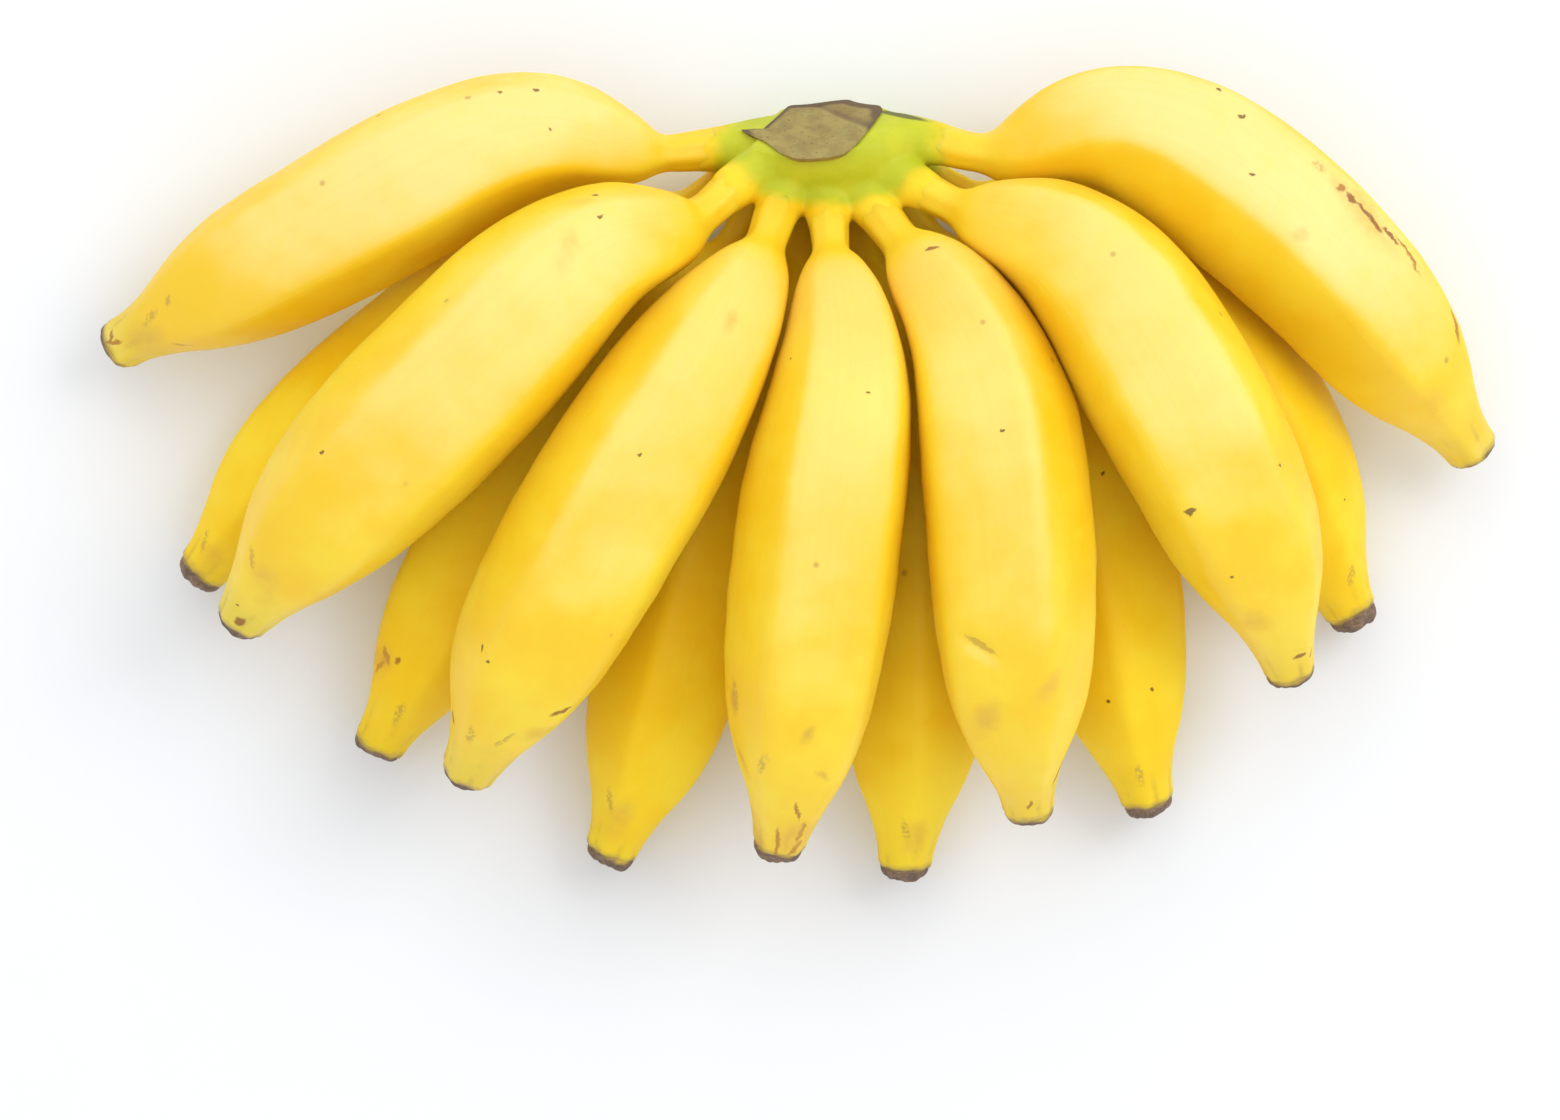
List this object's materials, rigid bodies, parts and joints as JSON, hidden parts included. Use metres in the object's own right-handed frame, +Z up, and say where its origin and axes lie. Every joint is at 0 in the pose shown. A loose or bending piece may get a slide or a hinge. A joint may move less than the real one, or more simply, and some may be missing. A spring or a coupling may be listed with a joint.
{
  "type": "bunch of bananas",
  "caption": "Hand of small ripe egg bananas lying on its concave side, two rows of fruit joined at a green crown with a dry brown cut.",
  "frame": {"origin": "middle of the underside of the whole hand, on the table plane", "axes": "+Z up from the table, +Y from the blossom ends toward the crown, +X to the right seen from above with the crown at the top"},
  "size_m": [0.2614, 0.1508, 0.0621],
  "materials": {
    "peel": "satin",
    "crown": "satin",
    "dry_cut": "matte",
    "dry_tip": "matte"
  },
  "bodies": {
    "root": {"crown": "crown", "cut_face": "dry_cut", "finger_front_1": "peel", "finger_front_2": "peel", "finger_front_3": "peel", "finger_front_4": "peel", "finger_front_5": "peel", "finger_front_6": "peel", "finger_front_7": "peel", "finger_back_1": "peel", "finger_back_2": "peel", "finger_back_3": "peel", "finger_back_4": "peel", "finger_back_5": "peel", "finger_back_6": "peel", "tip_front_1": "dry_tip", "tip_front_2": "dry_tip", "tip_front_3": "dry_tip", "tip_front_4": "dry_tip", "tip_front_5": "dry_tip", "tip_front_6": "dry_tip", "tip_front_7": "dry_tip", "tip_back_1": "dry_tip", "tip_back_2": "dry_tip", "tip_back_3": "dry_tip", "tip_back_4": "dry_tip", "tip_back_5": "dry_tip", "tip_back_6": "dry_tip"}
  },
  "joints": []
}
